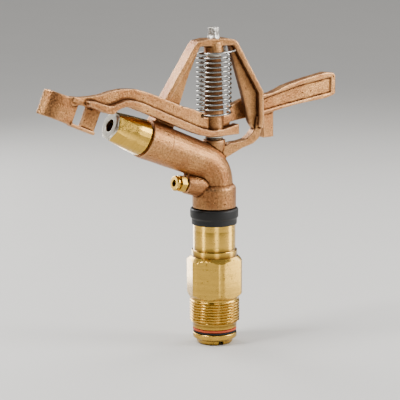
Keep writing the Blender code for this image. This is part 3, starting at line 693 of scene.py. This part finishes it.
def hexagon_radius(z, angle):
    """Radius of the chamfered hexagon, whose corners are turned down to a narrow land."""
    off = (angle - math.radians(HEX_CORNER_DEG)) % (TAU / 6) - TAU / 12
    flat = HEX_FLATS / 2 / math.cos(off)
    up = min(1.0, (z - HEX_Z0) / HEX_CHAMFER)
    down = min(1.0, (HEX_Z1 - z) / HEX_CHAMFER)
    foot_cone = HEX_FOOT_R + (HEX_LAND_R - HEX_FOOT_R) * up
    top_cone = HEX_TOP_R + (HEX_LAND_R - HEX_TOP_R) * down
    return min(flat, foot_cone, top_cone)


def sleeve_outline(angle):
    """The inlet's closed outline at one angle, from its foot up the outside and down the bore."""
    points = list(SLEEVE_FOOT)
    for i in range(THREAD_STEPS + 1):
        z = THREAD_Z0 + (THREAD_Z1 - THREAD_Z0) * i / THREAD_STEPS
        points.append((thread_radius(z, angle), z))
    levels = [HEX_Z0 + HEX_CHAMFER * i / HEX_STEPS for i in range(HEX_STEPS + 1)]
    levels += [HEX_Z0 + HEX_CHAMFER + (HEX_Z1 - HEX_Z0 - 2 * HEX_CHAMFER) * i / 6 for i in range(1, 6)]
    levels += [HEX_Z1 - HEX_CHAMFER * (HEX_STEPS - i) / HEX_STEPS for i in range(HEX_STEPS + 1)]
    points.append((THREAD_R - RUNOUT_DEPTH, HEX_Z0 - 0.1))
    points += [(hexagon_radius(z, angle), z) for z in levels]
    points += SLEEVE_SHOULDER
    for groove in NECK_GROOVES:
        points += [
            (SLEEVE_R, groove - GROOVE_HALF), (SLEEVE_R - GROOVE_DEPTH, groove),
            (SLEEVE_R, groove + GROOVE_HALF)]
    return [*points, *SLEEVE_MOUTH, *SLEEVE_BORE]


class SPRINKLER_OT_inlet(bpy.types.Operator):
    """Threaded inlet with its hexagon, and the bearing nipple inside it"""

    bl_idname = "sprinkler.inlet"
    bl_label = "Inlet"

    def execute(self, context):
        brass = finish_of("turned_brass")
        sleeve = lathe("inlet_sleeve", sleeve_outline, brass, steps=180,
                       start=math.radians(HEX_CORNER_DEG), sharp=20.0)
        mark_hollows(sleeve, spread=1, gain=2.0)
        stand_for(sleeve, "inlet", "turned_brass", "bearing_sleeve")
        # The bore's mouth, the domed underside of the flange, and the tube.
        outline = [(5.9, 0.0), *NIPPLE_DOME, *NIPPLE_TUBE]
        nipple = ring_piece("bearing_nipple_tube", outline, brass, ease=0.12)
        self.mill_slot(nipple, brass)
        stand_for(nipple, "head", "turned_brass", "bearing_nipple")
        return {"FINISHED"}

    @staticmethod
    def mill_slot(nipple, brass):
        """Cuts the tool slot across the flange's underside."""
        sides = ((-SLOT_HALF, -1.0), (SLOT_HALF, -1.0), (SLOT_HALF, SLOT_DEPTH), (-SLOT_HALF, SLOT_DEPTH))
        rings = [[(x, y, z) for y, z in sides] for x in (-SLOT_REACH, SLOT_REACH)]
        cutter = skin("slot_cutter", rings, brass, Matrix.Rotation(math.radians(SLOT_DEG), 4, "Z"))
        cut = nipple.modifiers.new("tool slot", "BOOLEAN")
        cut.operation = "DIFFERENCE"
        cut.solver = "EXACT"
        cut.object = cutter
        bpy.context.view_layer.update()
        evaluated_mesh(nipple)
        bpy.data.objects.remove(cutter)
        nipple.data.set_sharp_from_angle(angle=math.radians(SHARP_DEG))


class SPRINKLER_OT_washers(bpy.types.Operator):
    """Washers, seats, seal, bushings and hood of the two bearings"""

    bl_idname = "sprinkler.washers"
    bl_label = "Washers and hood"

    def execute(self, context):
        plain = (
            ("washer_rubber", "thrust_ring_rubber", "washers", "black_rubber", 8.0, 0.3),
            ("washer_fibre", "thrust_ring_fibre", "washers", "red_fibre", 8.0, 0.15),
            ("washer_ptfe", "thrust_ring_ptfe", "washers", "white_ptfe", 7.98, 0.1),
            ("spring_seat_lower", "spring_seat_below", "inlet", "stainless_steel", 8.0, 0.12),
            ("spring_seat_upper", "spring_seat_above", "head", "stainless_steel", 8.0, 0.12),
            ("hood_seal", "hood_seal_ring", "head", "black_rubber", 8.0, 0.3),
            ("arm_thrust_washer", "arm_thrust_ring", "arm", "shade_darkened_steel", 2.7, 0.12),
        )
        # A washer's CAD box gives its outside and its height.
        for node, name, body, slot, bore, ease in plain:
            low, high = (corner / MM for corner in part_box(node))
            outline = [(bore, low.z), (high.x, low.z), (high.x, high.z), (bore, high.z)]
            piece = ring_piece(name, outline, finish_of(slot), ease=ease)
            stand_for(piece, body, RECORD_SLOT.get(slot, slot), node)
        flanged = (
            ("arm_bushing_lower", "arm_bushing_below", [
                (2.55, 110.0), (4.6, 110.0), (4.6, 110.4), (3.0, 110.4), (3.0, 118.0), (2.55, 118.0)]),
            ("arm_bushing_upper", "arm_bushing_above", [
                (2.55, 145.0), (3.0, 145.0), (3.0, 152.6), (3.9, 152.6), (3.9, 153.3), (2.55, 153.3)]),
        )
        for node, name, outline in flanged:
            piece = ring_piece(name, outline, finish_of("natural_acetal"), ease=0.1)
            stand_for(piece, "arm", "natural_acetal", node)
        cap = ring_piece("sand_hood", HOOD_OUTLINE, finish_of("black_plastic"), ease=0.22)
        stand_for(cap, "head", "black_plastic", "protective_hood")
        return {"FINISHED"}


def flatted_ring(round_r, flat_r, z, turn=0.0):
    """A circle with six flats; its points sit on the flats' edges, so that the edges stay crisp."""
    across, between = 6, 4
    narrowest, widest = math.radians(0.6), math.radians(29.4)
    half = math.acos(min(1.0, flat_r / round_r)) if flat_r < round_r else 0.0
    half = min(max(half, narrowest), widest)
    ring = []
    for k in range(6):
        centre = math.radians(60.0 * k + turn)
        offs = [-half + 2 * half * i / across for i in range(across)]
        gap = TAU / 6 - 2 * half
        offs += [half + gap * i / between for i in range(between)]
        for off in offs:
            inner = min(round_r, flat_r / math.cos(off)) if off <= half else round_r
            ring.append((inner * math.cos(centre + off), inner * math.sin(centre + off), z))
    return ring


class SPRINKLER_OT_nozzles(bpy.types.Operator):
    """Range nozzle, spreader nozzle and the vanes inside the barrel"""

    bl_idname = "sprinkler.nozzles"
    bl_label = "Nozzles"

    def execute(self, context):
        brass = finish_of("turned_brass")
        turn = NOZZLE_FLAT_TURN
        base, lip = BARREL_LEN + 0.9, NOZZLE_TIP
        rings = [flatted_ring(r, NO_FLATS, z, turn) for r, z in (
            (5.0, 38.0), (6.9, 38.0), (7.2, 38.3), (7.2, base), (8.7, base), (9.1, base + 0.15))]
        for i in range(NOZZLE_LEVELS):
            t = i / (NOZZLE_LEVELS - 1)
            z = base + 0.6 + (lip - 1.6 - base) * t
            rings.append(flatted_ring(
                NOZZLE_FOOT_R - NOZZLE_TAPER * t, NOZZLE_FLAT_R - NOZZLE_FLAT_TAPER * t, z, turn))
        rings += [flatted_ring(r, NO_FLATS, z, turn) for r, z in (
            (6.75, lip - 0.55), (6.5, lip - 0.2), (6.1, lip), (3.75, lip), (3.45, lip - 0.1),
            (3.25, lip - 0.4), (3.25, lip - 6.0))]
        nozzle = skin("range_nozzle_brass", rings, brass, along_axis(TRAJECTORY, AXIS_Z),
                      closed=True, sharp=12.0)
        nozzle.data.materials.append(finish_of("worn_brass"))
        for face in nozzle.data.polygons:
            if face.center.z > (lip - NOZZLE_WORN) * MM:
                face.material_index = 1
        stand_for(nozzle, "head", "turned_brass", "range_nozzle")
        shank = ((1.7, 9.0), (2.6, 9.0), (2.6, 19.0))
        hexagon = ((4.0, 3.9, 19.0), (4.4, 4.0, 19.3), (4.5, 4.0, 19.5),
                   (4.5, 4.0, 22.1), (4.4, 4.0, 22.3), (4.0, 3.9, 22.6))
        head = ((3.0, 22.65), (2.9, 22.8), (2.9, 23.2), (3.1, 23.4), (3.8, 23.5), (4.0, 23.8),
                (4.0, 24.6), (3.8, 25.0), (3.5, 25.2), (1.95, 25.2), (1.7, 24.9))
        rings = [flatted_ring(r, NO_FLATS, z) for r, z in shank]
        rings += [flatted_ring(r, flat, z) for r, flat, z in hexagon]
        rings += [flatted_ring(r, NO_FLATS, z) for r, z in head]
        spreader = skin("spreader_nozzle_brass", rings, brass, along_axis(SPREADER_DEG, SPREADER_Z),
                        closed=True, sharp=24.0)
        stand_for(spreader, "head", "turned_brass", "spreader_nozzle")
        vanes = frame["nodes"]["stream_straightener"]
        vanes.data.materials.clear()
        vanes.data.materials.append(finish_of("natural_acetal"))
        ease = vanes.modifiers.new("moulded edges", "BEVEL")
        ease.width = 0.12 * MM
        ease.segments = 2
        return {"FINISHED"}


def pin_ring(radius, squareness, z):
    """A ring between round and square, for a pin head beaten square and so narrower across its flats."""
    steps, cornering, narrowing = 64, 3.5, 0.22
    ring = []
    for k in range(steps):
        a = TAU * k / steps
        c, s = abs(math.cos(a)), abs(math.sin(a))
        power = 2.0 + cornering * squareness
        r = radius / (c ** power + s ** power) ** (1 / power)
        r *= 1.0 - narrowing * squareness
        ring.append((r * math.cos(a + PIN_TURN), r * math.sin(a + PIN_TURN), z))
    return ring


class SPRINKLER_OT_pins(bpy.types.Operator):
    """Fulcrum pin with its beaten head, and the arm spring's post"""

    bl_idname = "sprinkler.pins"
    bl_label = "Pins"

    def execute(self, context):
        beaten = finish_of("beaten_steel")
        low, high = (corner.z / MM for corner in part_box("fulcrum_pin"))
        rings = [pin_ring(r, 0.0, z) for r, z in (
            (1.9, low), (2.2, low + 0.25), (2.4, low + 0.7), (2.4, 155.4), (2.45, 155.5), (3.05, 155.5),
            (3.1, 155.6), (3.1, PIN_COLLAR_Z))]
        levels = 12
        for i in range(levels + 1):
            t = i / levels
            z = PIN_HEAD_Z + (high - 0.5 - PIN_HEAD_Z) * t
            rings.append(pin_ring(3.12 - 0.22 * t, min(1.0, t * 3.0), z))
        rings += [pin_ring(r, squareness, z) for r, squareness, z in (
            (2.75, 1.0, high - 0.25), (2.45, 1.0, high - 0.06), (1.4, 0.6, high))]
        pin = skin("fulcrum_pin_steel", rings, beaten, sharp=40.0)
        for vert in pin.data.vertices:
            if vert.co.z > PIN_DENTS_Z * MM:
                place = vert.co / MM
                dent = noise.noise(place / 1.1) * 0.10 + noise.noise(place / 0.5) * 0.04
                out = Vector((vert.co.x, vert.co.y, 0)).normalized()
                vert.co += out * dent * MM
        stand_for(pin, "head", "stainless_steel", "fulcrum_pin")
        low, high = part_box("spring_anchor_pin")
        middle = (low + high) / 2
        foot, top = low.z / MM, high.z / MM
        angles = [TAU * k / 24 for k in range(24)]
        outline = ((0.25, foot), (0.5, foot + 0.1), (0.6, foot + 0.35), (0.6, top - 0.2), (0.45, top))
        rings = [[(middle.x / MM + r * math.cos(a), middle.y / MM + r * math.sin(a), z) for a in angles]
                 for r, z in outline]
        post = skin("spring_post", rings, beaten, sharp=50.0)
        stand_for(post, "head", "stainless_steel", "spring_anchor_pin")
        return {"FINISHED"}


class SPRINKLER_OT_springs(bpy.types.Operator):
    """Torsion spring of the arm and compression spring of the bearing"""

    bl_idname = "sprinkler.springs"
    bl_label = "Springs"

    def execute(self, context):
        settings = context.scene.sprinkler_springs
        drawn = finish_of("stainless_steel")
        # The lower end comes through the web's hole and turns up into the first coil.
        foot = SPRING_FOOT_Z
        path = [(-8.6, 2.6, foot), (-8.7, 1.6, foot), (-8.85, 0.7, foot)]
        for i in range(int(settings.arm_turns * POINTS_PER_TURN) + 1):
            turn = i / POINTS_PER_TURN
            a = math.pi + TAU * turn
            z = foot + STEEP_RISE * min(turn, STEEP_TURNS) + RISE * max(turn - STEEP_TURNS, 0.0)
            # The last turn and a half draws in a little, clear of the bridge's ribs.
            r = SPRING_R - TUCK * min(1.0, max(0.0, turn - settings.arm_turns + TUCK_TURNS))
            path.append((r * math.cos(a), r * math.sin(a), z))
        # The upper end leaves the last coil as a long tail, which bends back and rises slightly.
        last, before = Vector(path[-1]), Vector(path[-2])
        away = (last - before).normalized()
        path += [tuple(last + away * reach + Vector((0, TAIL_BEND * reach ** 2, TAIL_RISE * reach)))
                 for reach in TAIL_REACHES]
        arm_spring = wire("arm_torsion_spring", path, SPRING_WIRE_R, drawn)
        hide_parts("arm_spring")
        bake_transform(arm_spring)
        low, high = (corner.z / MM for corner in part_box("bearing_spring"))
        low, high = low + BEARING_WIRE_R, high - BEARING_WIRE_R
        even_share, eased_share = 0.35, 0.65
        count = int(settings.bearing_turns * POINTS_PER_TURN)
        path = []
        for i in range(count + 1):
            t = i / count
            a = TAU * i / POINTS_PER_TURN
            # The coils lie closer at both ends, where they sit on their seats.
            rise = 0.5 - 0.5 * math.cos(math.pi * t)
            z = low + (high - low) * (even_share * t + eased_share * rise)
            path.append((BEARING_SPRING_R * math.cos(a), BEARING_SPRING_R * math.sin(a), z))
        bearing = wire("bearing_compression_spring", path, BEARING_WIRE_R, drawn)
        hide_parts("bearing_spring")
        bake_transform(bearing)
        return {"FINISHED"}


# ---- stage ----
class SPRINKLER_OT_stage(bpy.types.Operator):
    """Pale floor, soft studio lights and the camera"""

    bl_idname = "sprinkler.stage"
    bl_label = "Stage"

    def execute(self, context):
        settings = context.scene.sprinkler_stage
        azimuth, elevation, roll = math.radians(-33.0), math.radians(10.5), math.radians(0.3)
        # The directions from the sprinkler back to the camera, and right and up in its view.
        back = Vector((
            math.sin(azimuth) * math.cos(elevation), -math.cos(azimuth) * math.cos(elevation),
            math.sin(elevation)))
        right = Vector((math.cos(azimuth), math.sin(azimuth), 0))
        up = back.cross(right)
        self.camera(context, back, right, up, roll)
        self.floor(settings)
        self.lights(back, right, up, settings)
        return {"FINISHED"}

    @staticmethod
    def camera(context, back, right, up, roll):
        """A long lens one metre away, so that the head is seen almost without perspective."""
        lens = bpy.data.cameras.new("camera")
        lens.sensor_width = 36.0
        lens.lens = 171.45
        camera = bpy.data.objects.new("camera", lens)
        context.scene.collection.objects.link(camera)
        aim_height, aim_left = 0.0765, 0.007455
        target = Vector((0, 0, aim_height)) - right * aim_left
        across = right * math.cos(roll) - up * math.sin(roll)
        upward = up * math.cos(roll) + right * math.sin(roll)
        matrix = Matrix((across, upward, back)).transposed().to_4x4()
        matrix.translation = target + back
        camera.matrix_world = matrix
        context.scene.camera = camera

    @staticmethod
    def lights(back, right, up, settings):
        """Soft lights on all sides and overhead, strips for the turned brass, and a wash for the floor."""
        middle = (cad_low + cad_high) / 2
        # Name, offset, width, height and power of each.
        placed = (
            ("key_light", -right * 0.38 + back * 0.28 + up * 0.5, 0.24, 0.24, settings.key_power),
            ("rim_light", -right * 0.42 - back * 0.5 + up * 0.34, 0.34, 0.34, settings.rim_power),
            ("fill_light", right * 0.62 + back * 0.14 + up * 0.22, 0.24, 0.36, settings.fill_power),
            ("low_light", right * 0.6 + back * 0.55 + up * 0.1, 0.4, 0.2, settings.low_power),
            ("back_light", right * 0.45 - back * 0.38 + up * 0.47, 0.4, 0.4, settings.back_power),
            ("top_light", up * 3.0, 8.0, 8.0, settings.top_power),
        )
        for name, offset, width, height, power in placed:
            SPRINKLER_OT_stage.panel_light(name, middle + offset, middle, width, height, power)
        # Strips close to the stem draw upright bands on the turned brass and are linked to it alone.
        brass = bpy.data.collections.new("turned_brass_pieces")
        for name in ("inlet_sleeve", "bearing_nipple_tube", "range_nozzle_brass", "spreader_nozzle_brass"):
            brass.objects.link(bpy.data.objects[name])
        forward = Vector((back.x, back.y, 0)).normalized()
        reach = 0.15
        # Degrees round from the camera, height of the lower edge, width, height and glow of each.
        strips = ((-151, 0.0, 0.06, 0.13, 9.0), (-60, 0.0, 0.024, 0.13, 8.0), (12, 0.0, 0.045, 0.13, 3.4),
                  (95, 0.0, 0.05, 0.13, 6.5), (-112, 0.085, 0.08, 0.05, 5.0))
        for degrees, low, width, tall, glow in strips:
            a = math.radians(degrees)
            foot = (right * math.sin(a) + forward * math.cos(a)) * reach
            lift = Vector((0, 0, low + tall / 2))
            power = settings.strip_power * glow * math.pi * width * tall
            strip = SPRINKLER_OT_stage.panel_light("stem_strip", foot + lift, lift, width, tall, power)
            strip.light_linking.receiver_collection = brass
        # A wash over the whole floor keeps it even and lights no piece directly.
        ground = bpy.data.collections.new("ground")
        ground.objects.link(bpy.data.objects["floor"])
        wash = SPRINKLER_OT_stage.panel_light(
            "floor_wash", up * 3.0, Vector(), 14.0, 14.0, settings.wash_power)
        wash.light_linking.receiver_collection = ground
        world = bpy.data.worlds.new("studio")
        world.use_nodes = True
        world.node_tree.nodes["Background"].inputs["Color"].default_value = linear("#C9C9C9")
        world.node_tree.nodes["Background"].inputs["Strength"].default_value = 0.1
        bpy.context.scene.world = world

    @staticmethod
    def panel_light(name, place, aim, width, height, power):
        """A rectangular soft light that points at a place and isn't seen itself."""
        light = bpy.data.lights.new(name, "AREA")
        light.shape = "RECTANGLE"
        light.size, light.size_y = width, height
        light.energy = power
        obj = bpy.data.objects.new(name, light)
        bpy.context.scene.collection.objects.link(obj)
        obj.location = place
        obj.rotation_euler = (place - aim).to_track_quat("Z", "Y").to_euler()
        obj.visible_camera = False
        return obj

    @staticmethod
    def floor(settings):
        """Painted board: one pale tone with a very slight unevenness."""
        made, tree, shader, place = principled("painted_floor", {"Roughness": 0.7})
        cloud = add(tree, "ShaderNodeTexNoise", {"Vector": place, "Scale": per_mm(90.0), "Detail": 2.0})
        tone = add(tree, "ShaderNodeMapRange", {
            "Value": cloud.outputs["Fac"], "To Min": 0.98, "To Max": 1.02})
        shade = add(tree, "ShaderNodeVectorMath", {0: tuple(settings.floor), "Scale": tone.outputs[0]},
                    operation="SCALE")
        tree.links.new(shade.outputs[0], shader.inputs["Base Color"])
        half = 6.0
        mesh = bpy.data.meshes.new("floor")
        corners = [(-half, -half, 0), (half, -half, 0), (half, half, 0), (-half, half, 0)]
        mesh.from_pydata(corners, [], [(0, 1, 2, 3)])
        mesh.materials.append(made)
        board = bpy.data.objects.new("floor", mesh)
        bpy.context.scene.collection.objects.link(board)


# ---- panel and registration ----
OPERATORS = (
    SPRINKLER_OT_castings, SPRINKLER_OT_inlet, SPRINKLER_OT_washers, SPRINKLER_OT_nozzles,
    SPRINKLER_OT_pins, SPRINKLER_OT_springs, SPRINKLER_OT_stage,
)
GROUPS = {
    "sprinkler_finish": SprinklerFinish,
    "sprinkler_casting": SprinklerCasting,
    "sprinkler_springs": SprinklerSprings,
    "sprinkler_stage": SprinklerStage,
}


class SPRINKLER_PT_panel(bpy.types.Panel):
    """Lists the sprinkler's pieces and settings"""

    bl_idname = "SPRINKLER_PT_panel"
    bl_label = "Impact Sprinkler"
    bl_space_type = "VIEW_3D"
    bl_region_type = "UI"
    bl_category = "Sprinkler"

    def draw(self, context):
        for name, group in GROUPS.items():
            box = self.layout.box()
            for key in group.__annotations__:
                box.prop(getattr(context.scene, name), key)
        for operator in OPERATORS:
            self.layout.operator(operator.bl_idname)


def register():
    for cls in (*GROUPS.values(), *OPERATORS, SPRINKLER_PT_panel):
        bpy.utils.register_class(cls)
    for name, group in GROUPS.items():
        setattr(bpy.types.Scene, name, PointerProperty(type=group))


def unregister():
    for name in GROUPS:
        delattr(bpy.types.Scene, name)
    for cls in (SPRINKLER_PT_panel, *reversed(OPERATORS), *reversed(GROUPS.values())):
        bpy.utils.unregister_class(cls)


def main():
    register()
    for piece in ("castings", "inlet", "washers", "nozzles", "pins", "springs", "stage"):
        getattr(bpy.ops.sprinkler, piece)()


if __name__ == "__main__":
    main()
